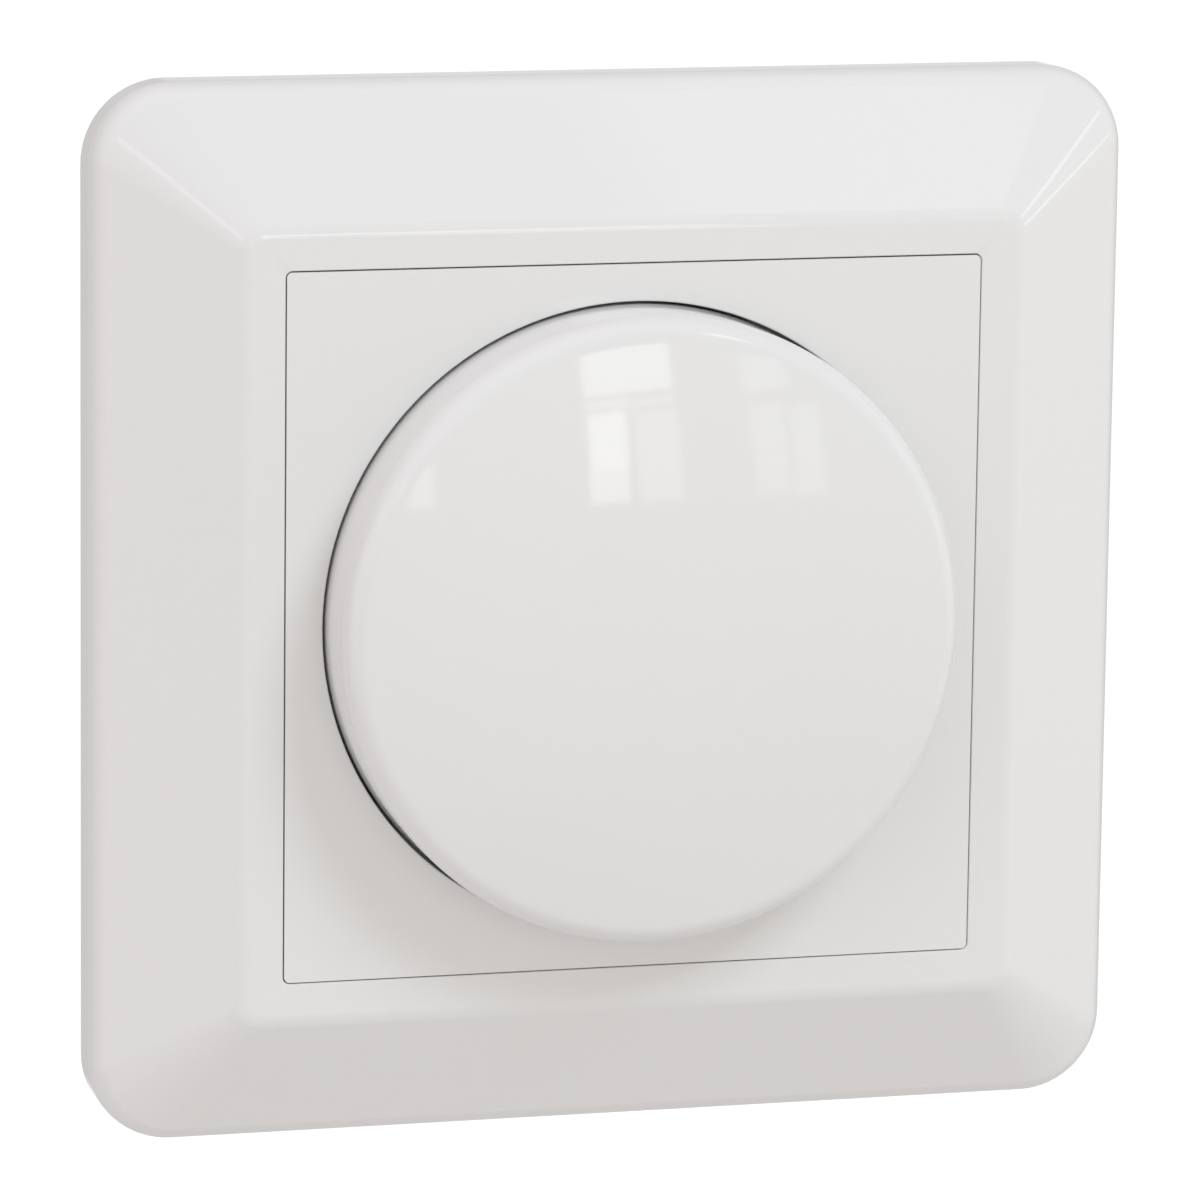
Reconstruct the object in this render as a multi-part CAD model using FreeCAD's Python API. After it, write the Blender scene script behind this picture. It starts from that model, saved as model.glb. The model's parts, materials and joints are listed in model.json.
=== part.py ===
import FreeCAD, Part

import math
import os

from FreeCAD import Vector

# Rotary push dimmer for a 60 mm flush wall box. Millimetres.
# Frame: +X right, +Z up, +Y into the wall. Y = 0 is the wall surface, on the knob's axis.
# A pair of numbers is where a piece starts and ends, along Y unless its name says otherwise.

# Fits
fit = 0.02
running_fit = 0.05
loose_fit = 0.1
past = 1.0

# Surround frame
frame_half = 42.0
frame_depth = 10.73
frame_corner = 6.6
frame_shoulder = 4.03
frame_top_half = 31.2
frame_top_corner = 1.5
frame_wall = 1.8
frame_outer_fillet = 2.6
frame_top_fillet = 2.3
hollow_narrowing = 0.4
hollow_drop = 1.5
opening_half = 28.1
opening_corner = 0.55
ledge_width = 1.25
ledge_thickness = 1.6
skirt_wall = 1.5
skirt_back = -4.6
edge_break = 0.1
brace_offset = 16.0
brace_thickness = 1.2
brace_span = (-5.5, -2.0)
brace_reach = 2.4

# Centre plate
plate_half = 28.0
plate_corner = 0.45
plate_thickness = 1.9
well_radius = 25.05
well_wall = 1.2
well_floor = (-4.6, -3.1)
well_lip = 0.15
boss_radius = 9.0
web_thickness = 1.2
web_back = -2.4
web_count = 4
web_turn = 22.5

# Knob
knob_radius = 24.8
knob_edge = 2.0
dome_radius = 112.0
dome_height = 9.6
knob_wall = 1.8
knob_roof = 2.0
knob_back = -6.6
knob_foot = 0.3
hub_radius = 5.2
hub_back = -10.0
rib_back = -12.5
rib_thickness = 1.2
rib_count = 6
rib_turn = 30.0
clip_span = (-12.1, -10.3)
clip_thickness = 0.5
clip_opening = 3.0

# Shaft, bush and fixings
shaft_radius = 3.0
shaft_flat = 2.0
shaft_span = (-17.2, 9.0)
shaft_groove = (7.05, 7.65)
shaft_groove_depth = 0.5
ring_radius = 4.6
ring_opening = 3.8
bush_radius = 4.9
bush_front = -8.0
thread_pitch = 0.75
thread_depth = 0.3
washer_radius = 8.0
washer_thickness = 0.5
nut_flats = 14.0
nut_height = 2.5
nut_cone = (7.0, 9.5)

# Mounting plate
plate_steel = 1.0
steel_half = 35.5
steel_corner = 4.0
box_pitch = 60.0
slot_length = 7.0
slot_radius = 1.9
notch_depth = 1.5
notch_span = (12, 18)

# Insert housing
insert_half = 23.5
insert_reach = 28.5
insert_back = 22.5
insert_wall = 1.4
insert_fillet = 0.9
lid_thickness = 1.6
lip_height = 1.6
lip_wall = 1.2
corner_share = 1.1
screw_place = 17.0
screw_radius = 1.2
screw_end = 9.0
screw_head_radius = 2.6
screw_head_height = 1.5
screw_head_fillet = 0.7
drive_half = 1.5
drive_width = 0.6
drive_depth = 0.9
post_radius = 2.8
post_end = 22.0
post_bore_end = 12.0

# Level control, all round the shaft
drum_radius = 8.2
drum_wall = 1.0
pot_front = 2.6
pot_skin = 0.6
wafer = (6.2, 7.0)
rotor_disc = (3.4, 4.9)
rotor_disc_radius = 6.8
rotor_hub_end = 5.6
rotor_hub_radius = 4.4
wiper_thickness = 0.2
wiper_width = 3.0
wiper_reach = (4.6, 6.6)
finger_width = 1.0
finger_reach = (5.2, 5.9)
finger_end = 6.1
pin_places = (-2.5, 0.0, 2.5)
pin_x = (-9.4, -8.8)
pin_width = 1.2
leg_width = 0.7
leg_past_board = 0.8

# Push switch, all round the shaft
switch_back = 16.0
switch_window = (13.0, 14.2)
switch_window_width = 2.6
plunger_front = 7.75
plunger_shoulder = 11.0
plunger_tip = 13.2
plunger_radius = 4.4
plunger_nose = 1.8
spring_radius = 2.8
spring_wire = 0.25
spring_turns = 4.0
rocker_axis = (12.0, -5.55)
rocker_length = (10.4, 14.6)
rocker_thickness = 0.4
rocker_width = 2.2
rocker_eye = 0.5
tip_radius = 0.6
tip_height = 0.33
tip_y = 13.6
contact_span = (13.1, 14.1)
contact_z = (6.6, 9.6)
contact_leg_width = 0.8
contact_leg_thickness = 0.6

# Circuit board
board = (10.0, 11.6)
board_half = 21.6
board_reach = 1.21
board_hole = 8.6
board_cut = (9, 12)
below_board = 0.6
contact_slot = (8.4, 9.8)
contact_slot_width = 1.4
pin_slot = (-9.6, -8.4)
pin_slot_width = 1.0

# Parts on the board's front
chip_x = -15.2
chip_half = (2.6, 2.0)
chip_span = (8.5, 9.9)
chip_leg_pitch = 1.27
chip_leg_width = 0.4
chip_leg_z = (1.9, 3.0)
chip_leg_foot = 0.2
chip_part = (2.0, 1.2)
chip_part_front = 9.4
transistor_x = 6.4
transistor_half = 5.0
transistor_front = 5.6
transistor_z = (11.2, 19.4)
transistor_chamfer = 0.5
transistor_legs_z = 9.4
tab_z = 20.8
tab_thickness = 1.3
lead_pitch = 2.54
lead_width = 0.8
lead_front = 9.2
spreader_half = 13.0
spreader_z = (10.5, 20.5)
spreader_back = 4.6
spreader_step = 1.2
window_step = 1.0
pad_half = 11.6

# Trimmer
trimmer_x = 15.5
trimmer_half = (3.2, 3.4)
trimmer_front = 4.6
trimmer_seat = 6.0
trimmer_bore = 2.55
rotor_span = (3.6, 5.9)
rotor_radius = 2.45
rotor_fillet = 0.2
rotor_slot_end = 4.5
rotor_slot = (2.0, 0.35)
trimmer_hole = 2.6

# Fuse
fuse_y = 6.2
fuse_z = -18.3
fuse_glass = (2.3, 1.7)
fuse_half = 9.4
cap_radius = 2.6
cap_x = (4.6, 10.0)
fuse_clip_radius = 3.0
fuse_clip_x = (5.6, 9.0)
fuse_clip_mouth = 1.2
fuse_neck_front = 2.8
fuse_neck_half = 0.4
fuse_foot_front = 9.6
fuse_foot_half = 1.4

# Parts behind the board
choke = Vector(-13.2, 16.0, 12.6)
core_outer = 6.2
core_inner = 3.0
core_half = 3.0
core_fillet = 0.5
winding_wire = 0.34
winding_corner = 0.6
winding_turns = 20
film_x = (1.0, 13.4)
film_span = (11.9, 20.5)
film_z = (11.0, 17.4)
film_fillet = 0.5
film_legs = (2.2, 12.2)
can_place = (15.0, -1.0)
can_radius = 4.1
can_span = (11.7, 20.5)
can_fillet = 0.5
can_groove = (12.9, 13.4)
can_groove_radius = 3.8
disc_centre = Vector(-16.9, 16.2, -3.0)
disc_radius = 4.2
disc_thickness = 3.4
disc_fillet = 0.9
disc_legs = ((-5.2, -16.0), (-0.8, -14.4))
disc_leg_length = 3.5
wire_leg = 0.3
film_leg_length = 1.2

# Terminals
terminal_pitch = 7.0
terminal_count = 3
terminal_y = 17.0
wire_z = -13.9
wire_radius = 1.6
driver_radius = 2.1
driver_length = 3.0
bar_z = (-15.9, -15.1)
bar_y = (12.4, 19.2)
bar_half = 1.5
tail_half = 0.5
tail_thinning = 0.1
tail_slot_half = 0.7
head_z = (-21.9, -20.6)
head_radius = 1.9
head_slot_half = 0.3
head_slot_depth = 0.7
clamp_radius = 1.5
cage_z = (-18.5, -11.9)
cage_half = (2.6, 2.25)
cage_inner_half = 1.8
cage_floor = 1.1
cage_roof = 0.8
block_half = 10.7
block_y = (11.7, 20.9)
block_z = (-22.0, -10.6)
pocket_half = (2.85, 2.4)
pocket_above = 0.3

axis_point = Vector(0, 0, 0)
y_axis = Vector(0, 1, 0)


def box(x, y, z):
    corner = Vector(x[0], y[0], z[0])
    return Part.makeBox(x[1] - x[0], y[1] - y[0], z[1] - z[0], corner)


def around(centre, half):
    return (centre - half, centre + half)


def mirrored(side, span):
    # a span on the right, or the same one on the left where side is -1
    return tuple(sorted((side * span[0], side * span[1])))


def beyond(span, more=past):
    return (span[0] - more, span[1] + more)


def disc(radius, y, x=0.0, z=0.0):
    return Part.makeCylinder(radius, y[1] - y[0], Vector(x, y[0], z), y_axis)


def ring(outer, inner, y, x=0.0, z=0.0):
    return disc(outer, y, x, z).cut(disc(inner, y, x, z))


def fused(shapes):
    return shapes[0].multiFuse(shapes[1:]).removeSplitter()


def turned(shape, degrees):
    shape.rotate(axis_point, y_axis, degrees)
    return shape


def rounded_wire(half, radius, y):
    # a square in the XZ plane with rounded corners, always built from the same eight edges
    flat = half - radius
    middle = flat + radius * math.cos(math.pi / 4)
    edges = []
    for turn in range(4):
        line = Part.makeLine(Vector(half, y, -flat), Vector(half, y, flat))
        arc = Part.Arc(Vector(half, y, flat), Vector(middle, y, middle), Vector(flat, y, half)).toShape()
        edges += [turned(line, -90 * turn), turned(arc, -90 * turn)]
    return Part.Wire(edges)


def rounded_block(half, radius, y):
    face = Part.Face(rounded_wire(half, radius, y[0]))
    return face.extrude(Vector(0, y[1] - y[0], 0))


def octagon_block(half, reach, y):
    # a square with its corners cut so that no corner is further than reach from the axis
    side = math.sqrt(reach ** 2 - half ** 2)
    points = []
    for turn in range(4):
        for x, z in ((half, -side), (half, side)):
            angle = math.radians(90 * turn)
            across = x * math.cos(angle) - z * math.sin(angle)
            up = x * math.sin(angle) + z * math.cos(angle)
            points.append(Vector(across, y[0], up))
    points.append(points[0])
    return Part.Face(Part.makePolygon(points)).extrude(Vector(0, y[1] - y[0], 0))


def revolved(edges):
    # a closed outline in the XY plane turned about the Y axis
    return Part.Face(Part.Wire(edges)).revolve(axis_point, y_axis, 360)


def edges_at(shape, y, least=0.0, most=1000.0):
    # edges that lie in the plane Y = y, with their furthest point between two distances from the axis
    found = []
    for edge in shape.Edges:
        bounds = edge.BoundBox
        reach = max(abs(bounds.XMin), abs(bounds.XMax), abs(bounds.ZMin), abs(bounds.ZMax))
        level = abs(bounds.YMin - y) < 1e-4 and abs(bounds.YMax - y) < 1e-4
        if level and least <= reach <= most:
            found.append(edge)
    return found


def circle_edges(shape):
    return [edge for edge in shape.Edges if len(edge.Vertexes) == 1]


def round_about(shape, count, first=0.0):
    return [turned(shape.copy(), first + 360.0 * step / count) for step in range(count)]


def flatted(radius, flat, y):
    # a round bar with one flat on its upper side
    bar = disc(radius, y)
    return bar.cut(box((-radius, radius), beyond(y), (flat, radius + past)))


def save(name, shape):
    solids = shape.Solids
    if not shape.isValid() or not solids:
        raise RuntimeError(f"{name} is not a valid solid")
    whole = solids[0] if len(solids) == 1 else Part.makeCompound(solids)
    whole.exportStep(f"parts/{name}.step")
    volume = sum(solid.Volume for solid in solids)
    print(f"{name}: {len(solids)} solid(s), {volume:.1f} mm3")


# What the room sees: frame, plate and knob


def sloped_block(half, corner, top_half, top_corner, shoulder, depth):
    base = rounded_block(half, corner, (-shoulder, 0))
    low = rounded_wire(half, corner, -shoulder)
    high = rounded_wire(top_half, top_corner, -depth)
    return base.fuse(Part.makeLoft([low, high], True, True)).removeSplitter()


def surround_frame():
    outer = sloped_block(frame_half, frame_corner, frame_top_half, frame_top_corner,
                         frame_shoulder, frame_depth)
    outer = outer.makeFillet(frame_outer_fillet, edges_at(outer, -frame_shoulder))
    outer = outer.makeFillet(frame_top_fillet, edges_at(outer, -frame_depth))
    hollow = sloped_block(frame_half - frame_wall, frame_corner - frame_wall,
                          frame_top_half - hollow_narrowing, frame_top_corner,
                          frame_shoulder - hollow_drop, frame_depth - frame_wall)
    skirt = rounded_block(opening_half + skirt_wall, opening_corner + skirt_wall, (-frame_depth, skirt_back))
    body = outer.cut(hollow.cut(skirt))
    # the plate lies on a ledge inside the opening
    seat = -frame_depth + plate_thickness
    body = body.cut(rounded_block(opening_half, opening_corner, (-frame_depth - past, seat)))
    body = body.cut(rounded_block(opening_half - ledge_width, opening_corner, (seat - past, past)))
    body = body.cut(rounded_block(opening_half, opening_corner, (seat + ledge_thickness, past)))
    rim = edges_at(body, -frame_depth, opening_half / 2, opening_half + fit)
    body = body.makeFillet(edge_break, rim)
    braces = []
    for turn in range(4):
        for side in (-1, 1):
            thickness = around(side * brace_offset, brace_thickness / 2)
            reach = (opening_half + skirt_wall / 2, frame_half - brace_reach)
            brace = turned(box(reach, brace_span, thickness), 90 * turn)
            braces.append(brace.common(outer))
    return fused([body] + braces)


def centre_plate():
    front = -frame_depth
    back = front + plate_thickness
    plate = rounded_block(plate_half, plate_corner, (front, back))
    tube = disc(well_radius + well_wall, (back - plate_thickness / 4, well_floor[1]))
    boss = disc(boss_radius, (well_floor[0], -plate_steel))
    body = fused([plate, tube, boss])
    body = body.cut(disc(well_radius, (front - past, well_floor[0])))
    body = body.cut(disc(bush_radius + 2 * loose_fit, (front, past)))
    body = body.cut(ring(well_radius - past, boss_radius, (well_floor[1], 0)))
    web = box((boss_radius - well_wall / 2, well_radius + well_wall / 2), (well_floor[1], web_back),
              around(0, web_thickness / 2))
    body = fused([body] + round_about(web, web_count, web_turn))
    body = body.makeFillet(edge_break, edges_at(body, front, plate_half - loose_fit))
    lip = edges_at(body, front, well_radius - fit, well_radius + fit)
    return body.makeFillet(well_lip, lip)


def knob_outline():
    front = -frame_depth
    lean = math.asin((knob_radius - knob_edge) / (dome_radius - knob_edge))
    centre = Vector(knob_radius - knob_edge, 0, 0)
    centre.y = front - dome_height + dome_radius - (dome_radius - knob_edge) * math.cos(lean)
    meet = centre + Vector(math.sin(lean), -math.cos(lean), 0) * knob_edge
    half_way = (math.pi / 2 + lean) / 2
    middle = centre + Vector(math.sin(half_way), -math.cos(half_way), 0) * knob_edge
    side = Vector(knob_radius, centre.y, 0)
    apex = Vector(0, front - dome_height, 0)
    crown = apex + Vector(math.sin(lean / 2), 1 - math.cos(lean / 2), 0) * dome_radius
    foot = Vector(0, knob_back, 0)
    base = Vector(knob_radius, knob_back, 0)
    return [
        Part.makeLine(foot, base),
        Part.makeLine(base, side),
        Part.Arc(side, middle, meet).toShape(),
        Part.Arc(meet, crown, apex).toShape(),
        Part.makeLine(apex, foot),
    ]


def knob():
    whole = revolved(knob_outline())
    inner = knob_radius - knob_wall
    roof = -frame_depth - dome_height + knob_roof
    sag = dome_radius - math.sqrt(dome_radius ** 2 - inner ** 2)
    ball = Part.makeSphere(dome_radius - knob_roof, Vector(0, roof + dome_radius - knob_roof, 0))
    hollow = disc(inner, (roof - past, knob_back + past)).common(ball)
    hollow = hollow.fuse(disc(inner, (roof + sag + past, knob_back + past)))
    shell = whole.cut(hollow)
    hub = disc(hub_radius, (roof - knob_roof / 4, hub_back)).common(whole)
    rib = box((hub_radius - knob_wall / 4, inner + knob_wall / 4), (roof - knob_roof / 4, rib_back),
              around(0, rib_thickness / 2))
    ribs = [copy.common(whole) for copy in round_about(rib, rib_count, rib_turn)]
    body = fused([shell, hub] + ribs)
    socket = flatted(shaft_radius + fit, shaft_flat + fit, (shaft_span[0] - 3 * loose_fit, hub_back + past))
    body = body.cut(socket)
    foot = edges_at(body, knob_back, knob_radius - fit, knob_radius + fit)
    return body.makeFillet(knob_foot, foot)


def knob_clip():
    clip = ring(hub_radius + clip_thickness, hub_radius, clip_span)
    mouth = box(around(0, clip_opening / 2), beyond(clip_span), (0, hub_radius + 2 * clip_thickness))
    return clip.cut(mouth)


# Fixings, bush and shaft


def fixing_washer():
    return ring(washer_radius, bush_radius + loose_fit, (well_floor[0] - washer_thickness, well_floor[0]))


def fixing_nut():
    back = well_floor[0] - washer_thickness
    front = back - nut_height
    corner_reach = nut_flats / math.sqrt(3)
    points = []
    for corner in range(7):
        angle = math.radians(60 * corner)
        points.append(Vector(corner_reach * math.cos(angle), front, corner_reach * math.sin(angle)))
    nut = Part.Face(Part.makePolygon(points)).extrude(Vector(0, nut_height, 0))
    # both ends are turned down to a cone, as on any hexagon nut
    start = Vector(0, front, 0)
    narrow, wide = nut_cone
    nut = nut.common(Part.makeCone(narrow, wide, nut_height, start, y_axis))
    nut = nut.common(Part.makeCone(wide, narrow, nut_height, start, y_axis))
    return nut.cut(disc(bush_radius + fit, beyond((front, back))))


def threaded_bush():
    # the thread is a row of V grooves at the thread's pitch
    bore = shaft_radius + running_fit
    root = bush_radius - thread_depth
    shoulder = drum_radius - 4 * loose_fit
    points = [(bore, bush_front), (root, bush_front)]
    y = bush_front + thread_depth
    while y < -plate_steel - thread_pitch:
        points += [(bush_radius, y), (root, y + thread_pitch / 2)]
        y += thread_pitch
    points += [(bush_radius, y), (bush_radius, lid_thickness), (shoulder, lid_thickness)]
    points += [(shoulder, pot_front), (bore, pot_front), (bore, bush_front)]
    outline = [Vector(x, y, 0) for x, y in points]
    return revolved(Part.makePolygon(outline).Edges)


def shaft():
    bar = flatted(shaft_radius, shaft_flat, shaft_span)
    return bar.cut(ring(shaft_radius + past, shaft_radius - shaft_groove_depth, shaft_groove))


def shaft_ring():
    span = beyond(shaft_groove, -fit)
    clip = ring(ring_radius, shaft_radius - shaft_groove_depth + fit, span)
    return clip.cut(box(around(0, ring_opening / 2), beyond(span), (0, ring_radius + past)))


def mounting_plate():
    through = beyond((-plate_steel, 0))
    body = rounded_block(steel_half, steel_corner, (-plate_steel, 0))
    cuts = [disc(bush_radius + 1.5 * loose_fit, through), disc(trimmer_hole, through, trimmer_x)]
    run = slot_length / 2 - slot_radius
    first, last = around(box_pitch / 2, run)
    for turn in range(4):
        ends = [disc(slot_radius, through, first), disc(slot_radius, through, last)]
        slot = fused(ends + [box((first, last), through, around(0, slot_radius))])
        notch = box((steel_half - notch_depth, steel_half + past), through, notch_span)
        cuts += [turned(slot, 90 * turn), turned(notch, 90 * turn)]
    for side in (-1, 1):
        cuts.append(disc(screw_radius + 3 * loose_fit, through, side * screw_place, side * screw_place))
    return body.cut(cuts).removeSplitter()


def housing_screws():
    screws = []
    for side in (-1, 1):
        place = side * screw_place
        front = -plate_steel - screw_head_height
        head = disc(screw_head_radius, (front, -plate_steel), place, place)
        head = head.makeFillet(screw_head_fillet, edges_at(head, front))
        drive = []
        for turn in (45, 135):
            arm = box(around(0, drive_half), (front - past, front + drive_depth), around(0, drive_width / 2))
            turned(arm, turn).translate(Vector(place, 0, place))
            drive.append(arm)
        shank = disc(screw_radius, (-plate_steel, screw_end), place, place)
        screws.append(head.cut(drive).fuse(shank).removeSplitter())
    return Part.makeCompound(screws)


# Insert housing


def inside(extra=0.0):
    return insert_half - insert_wall - extra, insert_reach - insert_wall * corner_share - extra


def housing_lid():
    through = (-past, lid_thickness + lip_height + past)
    body = octagon_block(insert_half, insert_reach, (0, lid_thickness))
    lip = octagon_block(*inside(loose_fit), (lid_thickness, lid_thickness + lip_height))
    lip = lip.cut(octagon_block(*inside(loose_fit + lip_wall), (lid_thickness, through[1])))
    for side in (-1, 1):
        lip = lip.cut(disc(post_radius + 2 * loose_fit, through, side * screw_place, side * screw_place))
    body = body.fuse(lip).removeSplitter()
    body = body.cut(disc(bush_radius + loose_fit, through))
    body = body.cut(disc(trimmer_hole, through, trimmer_x))
    window_half = spreader_half - window_step
    body = body.cut(box(around(0, window_half), through, beyond(spreader_z, -window_step)))
    for side in (-1, 1):
        body = body.cut(disc(screw_radius + 2 * loose_fit, through, side * screw_place, side * screw_place))
    return body


def terminal_places():
    first = -terminal_pitch * (terminal_count - 1) / 2
    return [first + terminal_pitch * index for index in range(terminal_count)]


def housing_tub():
    body = octagon_block(insert_half, insert_reach, (lid_thickness, insert_back))
    body = body.cut(octagon_block(*inside(), (0, insert_back - insert_wall)))
    posts = []
    for side in (-1, 1):
        place = side * screw_place
        posts.append(disc(post_radius, (lid_thickness, post_end), place, place))
    body = fused([body] + posts)
    body = body.common(octagon_block(insert_half, insert_reach, (0, insert_back)))
    body = body.makeFillet(insert_fillet, edges_at(body, insert_back))
    for side in (-1, 1):
        place = side * screw_place
        body = body.cut(disc(screw_radius + fit, (0, post_bore_end), place, place))
    for x in terminal_places():
        body = body.cut(disc(wire_radius, beyond((insert_back - insert_wall, insert_back)), x, wire_z))
        start = Vector(x, terminal_y, -insert_half - past)
        body = body.cut(Part.makeCylinder(driver_radius, driver_length, start, Vector(0, 0, 1)))
    return body


# Level control and push switch


def pot_body():
    body = disc(drum_radius, (pot_front, wafer[0]))
    body = body.cut(disc(drum_radius - drum_wall, (pot_front + pot_skin, wafer[0] + past)))
    return body.cut(disc(shaft_radius + 4 * loose_fit, beyond((pot_front, rotor_disc[0]))))


def pot_rotor():
    hub = disc(rotor_hub_radius, (rotor_disc[0], rotor_hub_end))
    body = disc(rotor_disc_radius, rotor_disc).fuse(hub).removeSplitter()
    through = beyond((rotor_disc[0], rotor_hub_end))
    bore = flatted(shaft_radius + running_fit, shaft_flat + running_fit, through)
    return body.cut(bore)


def pot_wiper():
    front = rotor_disc[1]
    arm = box(around(0, wiper_width / 2), (front, front + wiper_thickness), wiper_reach)
    finger = box(around(0, finger_width / 2), (front + wiper_thickness, finger_end), finger_reach)
    return arm.fuse(finger).removeSplitter()


def pot_wafer():
    return ring(drum_radius, shaft_radius + 5 * loose_fit, wafer)


def pot_pins():
    pins = []
    for z in pin_places:
        tab = box((pin_x[0], -drum_radius + drum_wall), wafer, around(z, pin_width / 2))
        tab = tab.cut(disc(drum_radius + fit, beyond(wafer)))
        leg = box(pin_x, (wafer[1], board[1] + leg_past_board), around(z, leg_width / 2))
        pins.append(tab.fuse(leg).removeSplitter())
    return Part.makeCompound(pins)


def switch_body():
    body = disc(drum_radius, (wafer[1], switch_back))
    body = body.cut(disc(drum_radius - drum_wall, (wafer[1] - past, switch_back - drum_wall)))
    for z in (-drum_radius, drum_radius):
        body = body.cut(box(around(0, switch_window_width / 2), switch_window, around(z, 1.5 * drum_wall)))
    return body


def switch_plunger():
    body = disc(plunger_radius, (plunger_front, plunger_shoulder))
    body = body.fuse(disc(plunger_nose, (plunger_shoulder, plunger_tip))).removeSplitter()
    return body.cut(disc(shaft_radius + loose_fit, (plunger_front - past, shaft_span[1] + running_fit)))


def return_spring():
    low = plunger_shoulder + spring_wire + fit
    high = switch_back - drum_wall - spring_wire - fit
    helix = Part.makeLongHelix((high - low) / spring_turns, high - low, spring_radius)
    rise = (high - low) / spring_turns / (2 * math.pi * spring_radius)
    section = Part.makeCircle(spring_wire, Vector(spring_radius, 0, 0), Vector(0, 1, rise))
    coil = Part.Wire(helix.Edges).makePipeShell([Part.Wire([section])], True, False)
    coil.rotate(axis_point, Vector(1, 0, 0), -90)
    coil.translate(Vector(0, low, 0))
    return coil


def contact_rocker():
    y, z = rocker_axis
    half = rocker_width / 2
    arm = box(around(0, half), rocker_length, around(z, rocker_thickness / 2))
    tip_start = Vector(0, tip_y, z - rocker_thickness / 2)
    tip = Part.makeCylinder(tip_radius, tip_height, tip_start, Vector(0, 0, -1))
    eye = Part.makeCylinder(rocker_eye, rocker_width, Vector(-half, y, z), Vector(1, 0, 0))
    return fused([arm, tip, eye])


def switch_contacts():
    pieces = []
    for side in (-1, 1):
        blade = box(around(0, rocker_width / 2), contact_span, mirrored(side, contact_z))
        z = mirrored(side, (contact_z[1] - contact_leg_thickness, contact_z[1]))
        leg = box(around(0, contact_leg_width / 2), (board[0] - below_board, contact_span[0]), z)
        pieces.append(blade.fuse(leg).removeSplitter())
    return Part.makeCompound(pieces)


# Circuit board and what stands on it


def circuit_board():
    body = octagon_block(board_half, board_half * board_reach, board)
    body = body.cut(disc(board_hole, board_cut))
    holes = []
    for side in (-1, 1):
        place = side * screw_place
        holes.append(disc(post_radius + 3 * loose_fit, board_cut, place, place))
        holes.append(box(around(0, contact_slot_width / 2), board_cut, mirrored(side, contact_slot)))
    for z in pin_places:
        holes.append(box(pin_slot, board_cut, around(z, pin_slot_width / 2)))
    for x in terminal_places():
        holes.append(box(around(x, tail_slot_half), board_cut, beyond(bar_z, running_fit)))
    return body.cut(holes)


def controller_chip():
    body = box(around(chip_x, chip_half[0]), chip_span, around(0, chip_half[1]))
    legs = []
    for step in range(4):
        x = around(chip_x + chip_leg_pitch * (step - 1.5), chip_leg_width / 2)
        for side in (-1, 1):
            top = (lead_front, lead_front + chip_leg_foot)
            legs.append(box(x, top, mirrored(side, chip_leg_z)))
            foot = (chip_leg_z[1] - chip_leg_foot, chip_leg_z[1])
            legs.append(box(x, (lead_front, board[0]), mirrored(side, foot)))
    return fused([body] + legs)


def surface_parts():
    # centre x, centre z and whether the part lies along Z
    places = [(-18.6 + 3.4 * (index // 3), -9.0 + 2.1 * (index % 3), False) for index in range(6)]
    places += [(11.0 + 2.2 * index, -8.8, True) for index in range(4)]
    places += [(-19.4 + 3.0 * (index // 2), 4.6 + 2.0 * (index % 2), False) for index in range(4)]
    length, width = chip_part
    parts = []
    for x, z, upright_part in places:
        across, up = (width, length) if upright_part else (length, width)
        parts.append(box(around(x, across / 2), (chip_part_front, board[0]), around(z, up / 2)))
    return Part.makeCompound(parts)


def transistors():
    parts = []
    for side in (-1, 1):
        x = side * transistor_x
        across = around(x, transistor_half)
        body = box(across, (transistor_front, chip_span[1]), transistor_z)
        body = body.makeChamfer(transistor_chamfer, edges_at(body, transistor_front))
        tab = box(across, (board[0] - tab_thickness, board[0]), (transistor_z[1], tab_z))
        legs = []
        for step in (-lead_pitch, lead_pitch):
            z = (transistor_legs_z, transistor_z[0])
            legs.append(box(around(x + step, lead_width / 2), (lead_front, board[0]), z))
        parts.append(fused([body, tab] + legs))
    return Part.makeCompound(parts)


def heat_spreader():
    body = box(around(0, spreader_half), (lid_thickness, spreader_back), spreader_z)
    narrower = around(0, spreader_half - spreader_step)
    raised = box(narrower, (0, lid_thickness), beyond(spreader_z, -spreader_step))
    return body.fuse(raised).removeSplitter()


def thermal_pad():
    return box(around(0, pad_half), (spreader_back, transistor_front), transistor_z)


def trimmer_body():
    body = box(around(trimmer_x, trimmer_half[0]), (trimmer_front, board[0]), around(0, trimmer_half[1]))
    return body.cut(disc(trimmer_bore, (trimmer_front - past, trimmer_seat), trimmer_x))


def trimmer_rotor():
    body = disc(rotor_radius, rotor_span, trimmer_x)
    body = body.makeFillet(rotor_fillet, edges_at(body, rotor_span[0]))
    length, width = rotor_slot
    depth = (rotor_span[0] - past, rotor_slot_end)
    slot = box(around(trimmer_x, length), depth, around(0, width))
    cross = box(around(trimmer_x, width), depth, around(0, length))
    return body.cut([slot, cross])


def bar_along_x(radius, x):
    return Part.makeCylinder(radius, x[1] - x[0], Vector(x[0], fuse_y, fuse_z), Vector(1, 0, 0))


def fuse_tube():
    tube = around(0, fuse_half)
    return bar_along_x(fuse_glass[0], tube).cut(bar_along_x(fuse_glass[1], beyond(tube)))


def fuse_caps():
    caps = []
    for side in (-1, 1):
        cap = bar_along_x(cap_radius, mirrored(side, cap_x))
        caps.append(cap.cut(bar_along_x(fuse_glass[0] + fit, mirrored(side, (cap_x[0], fuse_half)))))
    return Part.makeCompound(caps)


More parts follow.
